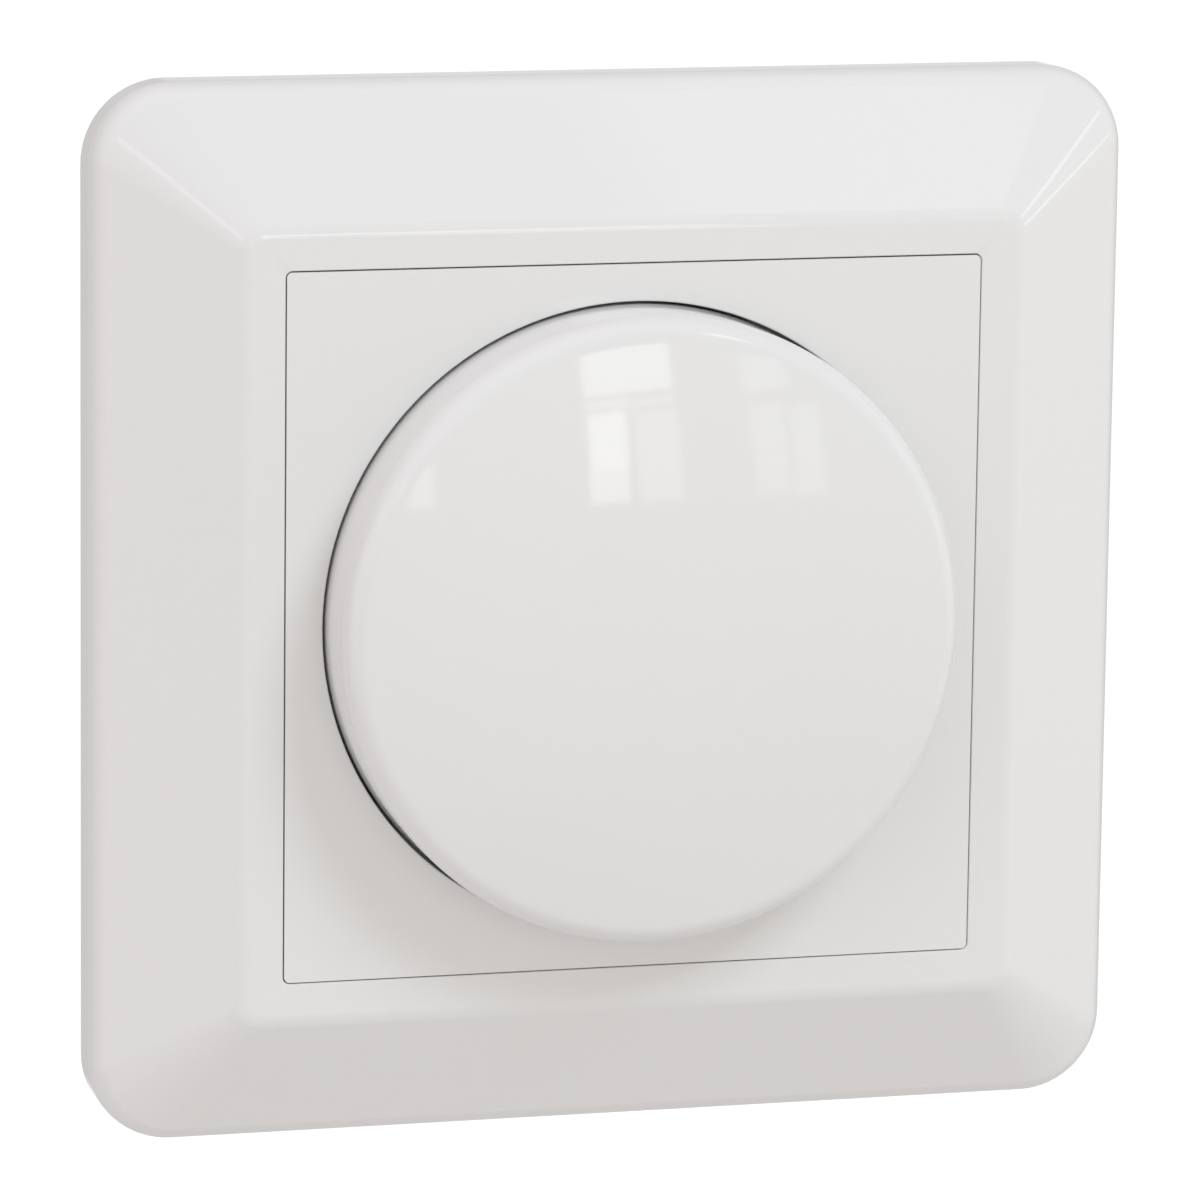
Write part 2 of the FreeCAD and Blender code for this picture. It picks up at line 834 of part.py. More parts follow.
def fuse_clips():
    clips = []
    for side in (-1, 1):
        x = mirrored(side, fuse_clip_x)
        clip = bar_along_x(fuse_clip_radius, x).cut(bar_along_x(cap_radius + fit, beyond(x)))
        mouth = box(beyond(x), (0, fuse_y - fuse_clip_mouth), around(fuse_z, fuse_clip_radius + past))
        neck = box(x, (fuse_y + fuse_neck_front, fuse_foot_front), around(fuse_z, fuse_neck_half))
        foot = box(x, (fuse_foot_front, board[0]), around(fuse_z, fuse_foot_half))
        clips.append(fused([clip.cut(mouth), neck, foot]))
    return Part.makeCompound(clips)


def choke_core():
    span = around(choke.y, core_half)
    body = ring(core_outer, core_inner, span, choke.x, choke.z)
    return body.makeFillet(core_fillet, circle_edges(body))


def winding_path(inner, outer, half):
    # a rounded rectangle in the XY plane, starting at the middle of its front side
    corner = winding_corner
    bend = corner * (1 - math.cos(math.pi / 4))
    start = Vector((inner + outer) / 2, -half, 0)
    edges = []
    last = start
    for x, y, right, back in ((outer, -half, 1, -1), (outer, half, 1, 1), (inner, half, -1, 1),
                              (inner, -half, -1, -1)):
        first = Vector(x - right * corner, y, 0)
        second = Vector(x, y - back * corner, 0)
        if right * back > 0:
            first, second = second, first
        middle = Vector(x - right * bend, y - back * bend, 0)
        edges += [Part.makeLine(last, first), Part.Arc(first, middle, second).toShape()]
        last = second
    return Part.Wire(edges + [Part.makeLine(last, start)])


def choke_winding():
    # each turn is a closed loop of wire round the core
    clear = winding_wire + running_fit
    inner, outer, half = core_inner - clear, core_outer + clear, core_half + clear
    start = Vector((inner + outer) / 2, -half, 0)
    section = Part.Wire([Part.makeCircle(winding_wire, start, Vector(1, 0, 0))])
    loop = winding_path(inner, outer, half).makePipeShell([section], True, True)
    loops = round_about(loop, winding_turns)
    for turn in loops:
        turn.translate(choke)
    return Part.makeCompound(loops)


def film_capacitor():
    body = box(film_x, film_span, film_z)
    body = body.makeFillet(film_fillet, body.Edges)
    legs = []
    for x in film_legs:
        start = Vector(x, board[1], sum(film_z) / 2)
        legs.append(Part.makeCylinder(wire_leg, film_leg_length, start, y_axis))
    return fused([body] + legs)


def smoothing_capacitor():
    body = disc(can_radius, can_span, *can_place)
    body = body.makeFillet(can_fillet, edges_at(body, can_span[1]))
    return body.cut(ring(can_radius + past, can_groove_radius, can_groove, *can_place))


def varistor():
    body = Part.makeCylinder(disc_radius, disc_thickness, disc_centre, Vector(1, 0, 0))
    body = body.makeFillet(disc_fillet, circle_edges(body))
    legs = []
    for z, x in disc_legs:
        legs.append(Part.makeCylinder(wire_leg, disc_leg_length, Vector(x, board[1], z), y_axis))
    return fused([body] + legs)


# Terminals


def upright(radius, z, x):
    return Part.makeCylinder(radius, z[1] - z[0], Vector(x, terminal_y, z[0]), Vector(0, 0, 1))


def terminal_screw(x):
    head = upright(head_radius, head_z, x)
    slot = box(around(x, head_radius + past), around(terminal_y, head_slot_half),
               (head_z[0] - past, head_z[0] + head_slot_depth))
    shank = upright(clamp_radius, (head_z[1], bar_z[0] - running_fit), x)
    return head.cut(slot).fuse(shank).removeSplitter()


def terminal_cage(x):
    body = box(around(x, cage_half[0]), around(terminal_y, cage_half[1]), cage_z)
    hollow = (cage_z[0] + cage_floor, cage_z[1] - cage_roof)
    body = body.cut(box(around(x, cage_inner_half), beyond(around(terminal_y, cage_half[1])), hollow))
    return body.cut(upright(clamp_radius + running_fit, beyond((cage_z[0], hollow[0])), x))


def terminal_bars():
    bars = []
    for x in terminal_places():
        bar = box(around(x, bar_half), bar_y, bar_z)
        tail = box(around(x, tail_half), (board[0] - below_board, bar_y[0]), beyond(bar_z, -tail_thinning))
        bars.append(bar.fuse(tail).removeSplitter())
    return Part.makeCompound(bars)


def terminal_block():
    body = box(around(0, block_half), block_y, block_z)
    cuts = []
    for x in terminal_places():
        across, deep = around(x, pocket_half[0]), around(terminal_y, pocket_half[1])
        cuts.append(box(across, deep, (head_z[1] + running_fit, cage_z[1] + pocket_above)))
        cuts.append(upright(driver_radius, beyond(block_z)[:1] + (head_z[1] + past,), x))
        cuts.append(disc(wire_radius, (terminal_y, block_y[1] + past), x, wire_z))
        cuts.append(box(around(x, bar_half + running_fit), (board[1] - past, bar_y[1] + loose_fit),
                        beyond(bar_z, running_fit)))
    return body.cut(cuts)


os.makedirs("parts", exist_ok=True)
pieces = [
    surround_frame, centre_plate, knob, knob_clip, fixing_washer, fixing_nut, threaded_bush, shaft,
    shaft_ring, mounting_plate, housing_screws, housing_lid, housing_tub, pot_body, pot_rotor,
    pot_wiper, pot_wafer, pot_pins, switch_body, switch_plunger, return_spring, contact_rocker,
    switch_contacts, circuit_board, controller_chip, surface_parts, transistors, heat_spreader,
    thermal_pad, trimmer_body, trimmer_rotor, fuse_tube, fuse_caps, fuse_clips, choke_core,
    choke_winding, film_capacitor, smoothing_capacitor, varistor, terminal_bars, terminal_block,
]
for piece in pieces:
    save(piece.__name__, piece())
for letter, place in zip("abc", terminal_places()):
    save(f"terminal_screw_{letter}", terminal_screw(place))
    save(f"terminal_cage_{letter}", terminal_cage(place))
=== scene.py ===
import json
import math

import bmesh
import bpy
from mathutils import Matrix, Quaternion, Vector


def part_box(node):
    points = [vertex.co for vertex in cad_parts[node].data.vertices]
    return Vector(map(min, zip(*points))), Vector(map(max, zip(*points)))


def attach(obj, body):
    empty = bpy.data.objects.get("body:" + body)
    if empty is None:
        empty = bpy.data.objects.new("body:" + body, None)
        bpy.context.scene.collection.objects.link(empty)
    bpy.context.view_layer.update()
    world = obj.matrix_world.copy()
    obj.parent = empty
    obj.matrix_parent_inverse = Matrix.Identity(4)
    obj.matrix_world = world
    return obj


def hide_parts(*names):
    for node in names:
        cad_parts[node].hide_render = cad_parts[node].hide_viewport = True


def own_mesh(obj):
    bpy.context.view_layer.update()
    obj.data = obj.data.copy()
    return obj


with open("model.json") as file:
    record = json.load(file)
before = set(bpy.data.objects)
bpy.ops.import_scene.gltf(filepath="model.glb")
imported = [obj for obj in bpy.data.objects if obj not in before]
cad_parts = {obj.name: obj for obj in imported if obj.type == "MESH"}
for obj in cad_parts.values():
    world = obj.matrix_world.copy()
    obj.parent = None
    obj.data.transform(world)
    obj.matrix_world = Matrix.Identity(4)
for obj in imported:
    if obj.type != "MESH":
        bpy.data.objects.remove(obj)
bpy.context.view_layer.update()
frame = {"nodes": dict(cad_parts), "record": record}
mm = 0.001  # the shapes are given in millimetres, the stage and the camera in metres
print("frame loaded:", len(frame["nodes"]), "CAD nodes")


# Shader graphs: a socket that can be written into sums and products


class Signal:
    def __init__(self, graph, socket):
        self.graph = graph
        self.socket = socket

    def maths(self, operation, *values):
        return self.graph.add("Math", {"operation": operation}, dict(enumerate(values)))

    def __add__(self, other):
        return self.maths("ADD", self, other)

    __radd__ = __add__

    def __sub__(self, other):
        return self.maths("SUBTRACT", self, other)

    def __rsub__(self, other):
        return self.maths("SUBTRACT", other, self)

    def __mul__(self, other):
        return self.maths("MULTIPLY", self, other)

    __rmul__ = __mul__

    def __truediv__(self, other):
        return self.maths("DIVIDE", self, other)

    def __pow__(self, other):
        return self.maths("POWER", self, other)


class Graph:
    def __init__(self, tree):
        self.tree = tree
        tree.nodes.clear()

    def add(self, kind, settings=None, sockets=None, out=0):
        # settings come first, because some of them change which sockets a node has
        node = self.tree.nodes.new("ShaderNode" + kind)
        for name, value in (settings or {}).items():
            setattr(node, name, value)
        for name, value in (sockets or {}).items():
            if isinstance(value, Signal):
                self.tree.links.new(value.socket, node.inputs[name])
            else:
                node.inputs[name].default_value = value
        return Signal(self, node.outputs[out]) if len(node.outputs) else None

    def noise(self, where, scale, detail, roughness=0.5):
        sockets = {"Vector": where, "Scale": scale, "Detail": detail, "Roughness": roughness}
        return self.add("TexNoise", {}, sockets)

    def blend(self, factor, first, second):
        # colour mix; inputs 6 and 7 are the two colours
        return self.add("Mix", {"data_type": "RGBA"}, {0: factor, 6: first, 7: second}, out=2)

    def stretched(self, where, scale):
        return self.add("Mapping", {}, {"Vector": where, "Scale": scale})

    def vector(self, operation, *values, out=0, **named):
        return self.add("VectorMath", {"operation": operation}, {**dict(enumerate(values)), **named}, out)

    def clamped(self, value):
        return self.add("Clamp", {}, {"Value": value, "Min": 0.0, "Max": 1.0})


def rgba(colour):
    return (*colour, 1.0)


def newMaterial(name):
    material = bpy.data.materials.new(name)
    material.use_nodes = True
    return material, Graph(material.node_tree)


def principled(graph, sockets):
    shader = graph.add("BsdfPrincipled", {}, sockets)
    graph.add("OutputMaterial", {}, {"Surface": shader})


# Finishes


mouldedLook = {
    "driftDetail": 3.0,
    "grainDetail": 3.0,
    "grainRoughness": 0.55,
    "ior": 1.49,
}


def mouldedPlastic(name, look):
    # base colour with slow drift, a roughness that varies a little, and moulded texture as bump
    material, graph = newMaterial(name)
    place = graph.add("TexCoord", out=3)
    drift = graph.noise(place, look["driftScale"], mouldedLook["driftDetail"])
    grain = graph.noise(place, look["grainScale"], mouldedLook["grainDetail"], mouldedLook["grainRoughness"])
    shade = look["colour"]
    dim = tuple(part * (1 - look["drift"]) for part in shade)
    colour = graph.blend(drift, rgba(dim), rgba(shade))
    rough = look["roughness"] + look["roughSpread"] * (grain - 0.5)
    bump = graph.add("Bump", {}, {"Strength": look["bump"], "Distance": look["depth"], "Height": grain})
    principled(graph, {"Base Color": colour, "Roughness": graph.clamped(rough), "Normal": bump,
                       "IOR": mouldedLook["ior"]})
    return material


rolledLook = {
    "lineDetail": 4.0,
    "lineRoughness": 0.6,
    "blotchDetail": 3.0,
    "blotchContrast": 1.6,
    "blotchShift": 0.3,
    "fleckFiner": 9,  # how many times finer than the blotches
    "fleckDetail": 2.0,
    "glossFromLines": 0.6,
    "glossFromFlecks": 0.4,
    "heightFromLines": 0.8,
    "heightFromFlecks": 0.2,
}


def rolledMetal(name, look):
    # rolling lines along one direction, blotches of tone, and fine flecks
    rolled = rolledLook
    material, graph = newMaterial(name)
    place = graph.add("TexCoord", out=3)
    lines = graph.noise(graph.stretched(place, look["lineStretch"]), look["lineScale"],
                        rolled["lineDetail"], rolled["lineRoughness"])
    blotch = graph.noise(place, look["blotchScale"], rolled["blotchDetail"])
    fleck = graph.noise(place, look["blotchScale"] * rolled["fleckFiner"], rolled["fleckDetail"])
    tone = graph.clamped(blotch * rolled["blotchContrast"] - rolled["blotchShift"])
    colour = graph.blend(tone, rgba(look["dark"]), rgba(look["light"]))
    gloss = lines * rolled["glossFromLines"] + fleck * rolled["glossFromFlecks"]
    rough = look["roughness"] + look["roughSpread"] * (gloss - 0.5)
    height = lines * rolled["heightFromLines"] + fleck * rolled["heightFromFlecks"]
    bump = graph.add("Bump", {}, {"Strength": look["bump"], "Distance": look["depth"], "Height": height})
    principled(graph, {"Base Color": colour, "Roughness": graph.clamped(rough), "Normal": bump,
                       "Metallic": 1.0})
    return material


# Mesh helpers

weld = 0.0005 * mm  # points nearer than this are one point
near = 0.01 * mm  # how far off its nominal place an edge is still looked for
flat = 0.02 * mm  # how far off a plane an edge still counts as lying in it


def bevelled(bm, edges, width, segments):
    bmesh.ops.bevel(bm, geom=edges, offset=width, offset_type="OFFSET", segments=segments,
                    profile=0.5, affect="EDGES", clamp_overlap=True, material=-1)


def startSquare(bm, half, corner, depth, steps):
    # a rounded square in the XZ plane, with both ends of each corner's arc on it
    verts = bmesh.ops.create_circle(bm, cap_ends=False, radius=half, segments=4 * (steps + 1))["verts"]
    centreOut = (half - corner) * math.sqrt(2)
    for index, vert in enumerate(verts):
        quarter, step = divmod(index, steps + 1)
        angle = math.radians(90 * (quarter + step / steps))
        middle = math.radians(90 * quarter + 45)
        vert.co = (centreOut * math.cos(middle) + corner * math.cos(angle), depth,
                   centreOut * math.sin(middle) + corner * math.sin(angle))
    return list({edge for vert in verts for edge in vert.link_edges})


def startCircle(bm, radius, depth, segments):
    turn = Matrix.Translation((0, depth, 0)) @ Matrix.Rotation(math.radians(90), 4, "X")
    verts = bmesh.ops.create_circle(bm, cap_ends=False, radius=radius, segments=segments,
                                    matrix=turn)["verts"]
    return list({edge for vert in verts for edge in vert.link_edges})


def extend(bm, edges, place):
    # one more ring of faces on a loop of edges; place says where each point of the new loop goes
    made = bmesh.ops.extrude_edge_only(bm, edges=edges)["geom"]
    verts = {item for item in made if isinstance(item, bmesh.types.BMVert)}
    for vert in verts:
        vert.co = place(vert.co)
    return [item for item in made if isinstance(item, bmesh.types.BMEdge) and set(item.verts) <= verts]


def extendSquare(bm, edges, old, new):
    # old and new are half width, corner radius and height off the wall, in millimetres
    oldFlat, newFlat = (old[0] - old[1]) * mm, (new[0] - new[1]) * mm

    def place(point):
        across, up = math.copysign(1, point.x), math.copysign(1, point.z)
        grow = new[1] / old[1]
        return Vector((across * newFlat + (point.x - across * oldFlat) * grow, -new[2] * mm,
                       up * newFlat + (point.z - up * oldFlat) * grow))

    return extend(bm, edges, place)


def extendCircle(bm, edges, radius, depth):
    def place(point):
        angle = math.atan2(point.z, point.x)
        return Vector((radius * math.cos(angle), depth, radius * math.sin(angle)))

    return extend(bm, edges, place)


def levelEdges(bm, depth, low, high):
    # edges lying in one plane across the Y axis, whose ends reach from low to high
    found = []
    for edge in bm.edges:
        reach = [max(abs(vert.co.x), abs(vert.co.z)) for vert in edge.verts]
        level = all(abs(vert.co.y - depth) < flat for vert in edge.verts)
        if level and low <= min(reach) and max(reach) <= high:
            found.append(edge)
    return found


def addRib(bm, inner, outer, back, thickness, turn, aside=0.0):
    # a flat rib; inner and outer are how far out and how far forward its two ends are, in millimetres
    swing = Matrix.Rotation(math.radians(turn), 3, "Y")
    for vert in bmesh.ops.create_cube(bm, size=1.0)["verts"]:
        out, front = outer if vert.co.x > 0 else inner
        depth = back if vert.co.y > 0 else front
        vert.co = swing @ Vector((out, depth, aside + math.copysign(thickness / 2, vert.co.z))) * mm


def finishMesh(bm, name, material, body, stands, sharp=35):
    bmesh.ops.remove_doubles(bm, verts=bm.verts, dist=weld)
    bmesh.ops.recalc_face_normals(bm, faces=bm.faces)
    for face in bm.faces:
        face.smooth = True
    for edge in bm.edges:
        edge.smooth = len(edge.link_faces) == 2 and edge.calc_face_angle() < math.radians(sharp)
    mesh = bpy.data.meshes.new(name)
    bm.to_mesh(mesh)
    bm.free()
    mesh.materials.append(material)
    piece = bpy.data.objects.new(name, mesh)
    bpy.context.scene.collection.objects.link(piece)
    weighted = piece.modifiers.new("flatFacesStayFlat", "WEIGHTED_NORMAL")
    weighted.keep_sharp = True
    weighted.weight = 100
    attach(piece, body)
    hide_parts(*stands)
    print("piece", name, len(mesh.polygons), "faces")
    return piece


# The white parts

whitePlasticLook = {
    "colour": (0.80, 0.796, 0.786),
    "drift": 0.006,
    "driftScale": 45,
    "grainScale": 900,
    "roughness": 0.05,
    "roughSpread": 0.015,
    "bump": 0.03,
    "depth": 0.02 * mm,
}
whitePlastic = mouldedPlastic("whitePlastic", whitePlasticLook)

frameShape = {
    "corner": 6.6,
    "shoulder": 4.03,
    "topHalf": 31.2,
    "topCorner": 1.5,
    "outerRound": 2.6,
    "topRound": 2.3,
    "wall": 1.8,
    "hollowTop": 0.4,
    "hollowShoulder": 1.5,
    "opening": 28.1,
    "openingCorner": 0.55,
    "ledge": 1.25,
    "ledgeDepth": 1.9,
    "ledgeThickness": 1.6,
    "skirtBack": 4.6,
    "skirtWall": 1.5,
    "edgeBreak": 0.1,
    "edgeSteps": 3,
    "brace": 1.2,
    "braceAside": 16.0,
    "braceInner": (28.85, -5.5),
    "braceOuter": (39.6, -4.0),
    "braceBack": -2.0,
    "cornerSteps": 16,
    "roundSteps": 8,
}


def buildFrame():
    shape = frameShape
    low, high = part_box("surround_frame")
    half = high.x / mm
    depth = -low.y / mm
    bm = bmesh.new()
    opening = shape["opening"]
    ledge = opening - shape["ledge"]
    skirt = opening + shape["skirtWall"]
    seat = depth - shape["ledgeDepth"]
    wall = shape["wall"]
    small = shape["openingCorner"]
    # (half width, corner radius, height off the wall), once round the section
    section = [
        (half, shape["corner"], 0),
        (half, shape["corner"], shape["shoulder"]),
        (shape["topHalf"], shape["topCorner"], depth),
        (opening, small, depth),
        (opening, small, seat),
        (ledge, small, seat),
        (ledge, small, seat - shape["ledgeThickness"]),
        (opening, small, seat - shape["ledgeThickness"]),
        (opening, small, shape["skirtBack"]),
        (skirt, small + shape["skirtWall"], shape["skirtBack"]),
        (skirt, small + shape["skirtWall"], depth - wall),
        (shape["topHalf"] - shape["hollowTop"], shape["topCorner"], depth - wall),
        (half - wall, shape["corner"] - wall, shape["shoulder"] - shape["hollowShoulder"]),
        (half - wall, shape["corner"] - wall, 0),
    ]
    first = section[0]
    edges = startSquare(bm, first[0] * mm, first[1] * mm, -first[2] * mm, shape["cornerSteps"])
    for old, new in zip(section, section[1:] + section[:1]):
        edges = extendSquare(bm, edges, old, new)
    bmesh.ops.remove_doubles(bm, verts=bm.verts, dist=weld)
    slope = math.atan2(half - shape["topHalf"], depth - shape["shoulder"])
    outer = levelEdges(bm, -shape["shoulder"] * mm, (half - shape["corner"]) * mm, half * mm + near)
    bevelled(bm, outer, shape["outerRound"] * math.tan(slope / 2) * mm, shape["roundSteps"])
    top = levelEdges(bm, -depth * mm, (shape["topHalf"] - shape["topCorner"]) * mm,
                     shape["topHalf"] * mm + near)
    bevelled(bm, top, shape["topRound"] * math.tan((math.pi / 2 - slope) / 2) * mm, shape["roundSteps"])
    rim = levelEdges(bm, -depth * mm, (opening - small) * mm - near, opening * mm + near)
    bevelled(bm, rim, shape["edgeBreak"] * mm, shape["edgeSteps"])
    for quarter in range(4):
        for side in (-1, 1):
            addRib(bm, shape["braceInner"], shape["braceOuter"], shape["braceBack"], shape["brace"],
                   90 * quarter, side * shape["braceAside"])
    finishMesh(bm, "surroundFrame", whitePlastic, "insert", ["surround_frame"])


plateShape = {
    "corner": 0.45,
    "thickness": 1.9,
    "well": 25.05,
    "wellWall": 1.2,
    "floorFront": 4.6,
    "floorBack": 3.1,
    "bush": 5.1,
    "boss": 9.0,
    "steel": 1.0,
    "edgeBreak": 0.1,
    "edgeSteps": 3,
    "lip": 0.15,
    "lipSteps": 4,
    "web": 1.2,
    "webBack": 2.4,
    "webTurn": 22.5,
    "webIntoFloor": 0.1,
    "webIntoWalls": 0.6,
    "cornerSteps": 8,
    "roundSteps": 160,
}


def buildPlate():
    shape = plateShape
    low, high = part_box("centre_plate")
    half = high.x
    front = low.y
    back = front + shape["thickness"] * mm
    bm = bmesh.new()
    steps, corner = shape["roundSteps"], shape["corner"]
    floorFront, floorBack = -shape["floorFront"] * mm, -shape["floorBack"] * mm
    bossBack = -shape["steel"] * mm
    tube = shape["well"] + shape["wellWall"]
    rim = startSquare(bm, half, corner * mm, front, shape["cornerSteps"])
    foot = extendSquare(bm, rim, (half / mm, corner, -front / mm), (half / mm, corner, -back / mm))
    mouth = startCircle(bm, shape["well"] * mm, front, steps)
    bmesh.ops.triangle_fill(bm, edges=rim + mouth, use_beauty=True, use_dissolve=False)
    edges = mouth
    for radius, depth in ((shape["well"], floorFront), (shape["bush"], floorFront), (shape["bush"], bossBack),
                          (shape["boss"], bossBack), (shape["boss"], floorBack), (tube, floorBack),
                          (tube, back)):
        edges = extendCircle(bm, edges, radius * mm, depth)
    bmesh.ops.triangle_fill(bm, edges=foot + edges, use_beauty=True, use_dissolve=False)
    outline = levelEdges(bm, front, half - corner * mm - near, half + near)
    bevelled(bm, outline, shape["edgeBreak"] * mm, shape["edgeSteps"])
    reach = shape["well"] * mm
    lip = [edge for edge in levelEdges(bm, front, 0, reach + near)
           if all(abs(math.hypot(vert.co.x, vert.co.z) - reach) < near for vert in edge.verts)]
    bevelled(bm, lip, shape["lip"] * mm, shape["lipSteps"])
    webFront = -shape["floorBack"] - shape["webIntoFloor"]
    webInner, webOuter = shape["boss"] - shape["webIntoWalls"], tube - shape["webIntoWalls"]
    for quarter in range(4):
        addRib(bm, (webInner, webFront), (webOuter, webFront), -shape["webBack"], shape["web"],
               shape["webTurn"] + 90 * quarter)
    finishMesh(bm, "centrePlate", whitePlastic, "insert", ["centre_plate"])


knobShape = {
    "edge": 2.0,
    "dome": 112.0,
    "wall": 1.8,
    "roof": 2.0,
    "foot": 0.3,
    "hub": 5.2,
    "bore": 3.02,
    "hubBack": 10.0,
    "ribBack": 12.5,
    "rib": 1.2,
    "ribs": 6,
    "ribTurn": 30.0,
    "ribIntoWalls": 0.45,
    "roofStops": (1.0, 0.75, 0.5),  # where the underside of the roof gets a point, as shares of its width
    "domeSteps": 40,
    "edgeSteps": 14,
    "footSteps": 4,
    "turnSteps": 192,
}


def buildKnob():
    shape = knobShape
    low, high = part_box("knob")
    radius, apex, foot = high.x, low.y, high.y
    edge, dome = shape["edge"] * mm, shape["dome"] * mm
    lean = math.asin((radius - edge) / (dome - edge))
    bm = bmesh.new()

    def swing(vert, centre, angle, steps):
        made = bmesh.ops.spin(bm, geom=[vert], cent=centre, axis=(0, 0, 1), dvec=(0, 0, 0),
                              angle=angle, steps=steps, use_duplicate=False)
        return [g for g in made["geom_last"] if isinstance(g, bmesh.types.BMVert)][0]

    def lineTo(vert, x, y):
        new = bm.verts.new((x, y, 0))
        bm.edges.new((vert, new))
        return new

    def across(x, inner):
        # depth of the dome's outside or inside at a distance from the axis
        ball = dome - inner
        return apex + dome - math.sqrt(ball * ball - x * x)

    vert = swing(bm.verts.new((0, apex, 0)), (0, apex + dome, 0), lean, shape["domeSteps"])
    rimY = apex + dome - (dome - edge) * math.cos(lean)
    vert = swing(vert, (radius - edge, rimY, 0), math.pi / 2 - lean, shape["edgeSteps"])
    step = shape["foot"] * mm
    vert = lineTo(vert, radius, foot - step)
    vert = swing(vert, (radius - step, foot - step, 0), math.pi / 2, shape["footSteps"])
    inner = radius - shape["wall"] * mm
    vert = lineTo(vert, inner, foot)
    roof = shape["roof"] * mm
    for share in shape["roofStops"]:
        vert = lineTo(vert, inner * share, across(inner * share, roof))
    hub, bore = shape["hub"] * mm, shape["bore"] * mm
    vert = lineTo(vert, hub, across(hub, roof))
    vert = lineTo(vert, hub, -shape["hubBack"] * mm)
    vert = lineTo(vert, bore, -shape["hubBack"] * mm)
    vert = lineTo(vert, bore, across(bore, roof))
    lineTo(vert, 0, across(0, roof))
    bmesh.ops.spin(bm, geom=bm.verts[:] + bm.edges[:], cent=(0, 0, 0), axis=(0, 1, 0), dvec=(0, 0, 0),
                   angle=2 * math.pi, steps=shape["turnSteps"], use_merge=True, use_duplicate=False)
    start, end = hub - shape["ribIntoWalls"] * mm, inner + shape["ribIntoWalls"] * mm
    for number in range(shape["ribs"]):
        addRib(bm, (start / mm, across(start, roof / 2) / mm), (end / mm, across(end, roof / 2) / mm),
               -shape["ribBack"], shape["rib"], shape["ribTurn"] + 360 * number / shape["ribs"])
    finishMesh(bm, "knobShell", whitePlastic, "knob", ["knob"])


buildFrame()
buildPlate()
buildKnob()

# The other parts keep their CAD shape and get their finish

plasticLooks = {
    "insertGrey": {"colour": (0.52, 0.525, 0.53), "drift": 0.05, "driftScale": 60, "grainScale": 5200,
                   "roughness": 0.52, "roughSpread": 0.16, "bump": 0.5, "depth": 0.05 * mm},
    "waferBrown": {"colour": (0.3, 0.16, 0.07), "drift": 0.2, "driftScale": 300, "grainScale": 3000,
                   "roughness": 0.55, "roughSpread": 0.2, "bump": 0.4, "depth": 0.03 * mm},
    "blackMoulding": {"colour": (0.03, 0.03, 0.034), "drift": 0.2, "driftScale": 150, "grainScale": 4200,
                      "roughness": 0.45, "roughSpread": 0.15, "bump": 0.4, "depth": 0.03 * mm},
    "plungerWhite": {"colour": (0.74, 0.73, 0.69), "drift": 0.03, "driftScale": 120, "grainScale": 2600,
                     "roughness": 0.38, "roughSpread": 0.1, "bump": 0.3, "depth": 0.02 * mm},
    "chipCeramic": {"colour": (0.3, 0.24, 0.19), "drift": 0.25, "driftScale": 500, "grainScale": 6000,
                    "roughness": 0.5, "roughSpread": 0.1, "bump": 0.2, "depth": 0.01 * mm},
    "padSilicone": {"colour": (0.38, 0.44, 0.56), "drift": 0.08, "driftScale": 200, "grainScale": 2400,
                    "roughness": 0.6, "roughSpread": 0.1, "bump": 0.3, "depth": 0.03 * mm},
    "coreCoating": {"colour": (0.6, 0.5, 0.08), "drift": 0.12, "driftScale": 250, "grainScale": 1800,
                    "roughness": 0.4, "roughSpread": 0.15, "bump": 0.5, "depth": 0.05 * mm},
    "capacitorRed": {"colour": (0.42, 0.05, 0.035), "drift": 0.08, "driftScale": 120, "grainScale": 2200,
                     "roughness": 0.24, "roughSpread": 0.08, "bump": 0.2, "depth": 0.02 * mm},
    "capacitorSleeve": {"colour": (0.02, 0.025, 0.06), "drift": 0.15, "driftScale": 160, "grainScale": 1500,
                        "roughness": 0.28, "roughSpread": 0.1, "bump": 0.3, "depth": 0.02 * mm},
    "blueEpoxy": {"colour": (0.02, 0.09, 0.34), "drift": 0.15, "driftScale": 220, "grainScale": 1100,
                  "roughness": 0.22, "roughSpread": 0.1, "bump": 0.5, "depth": 0.05 * mm},
    "terminalMoulding": {"colour": (0.42, 0.43, 0.43), "drift": 0.05, "driftScale": 90, "grainScale": 4800,
                         "roughness": 0.5, "roughSpread": 0.15, "bump": 0.4, "depth": 0.04 * mm},
    "boardGreen": {"colour": (0.03, 0.2, 0.09), "drift": 0.25, "driftScale": 180, "grainScale": 2400,
                   "roughness": 0.3, "roughSpread": 0.12, "bump": 0.3, "depth": 0.02 * mm},
}
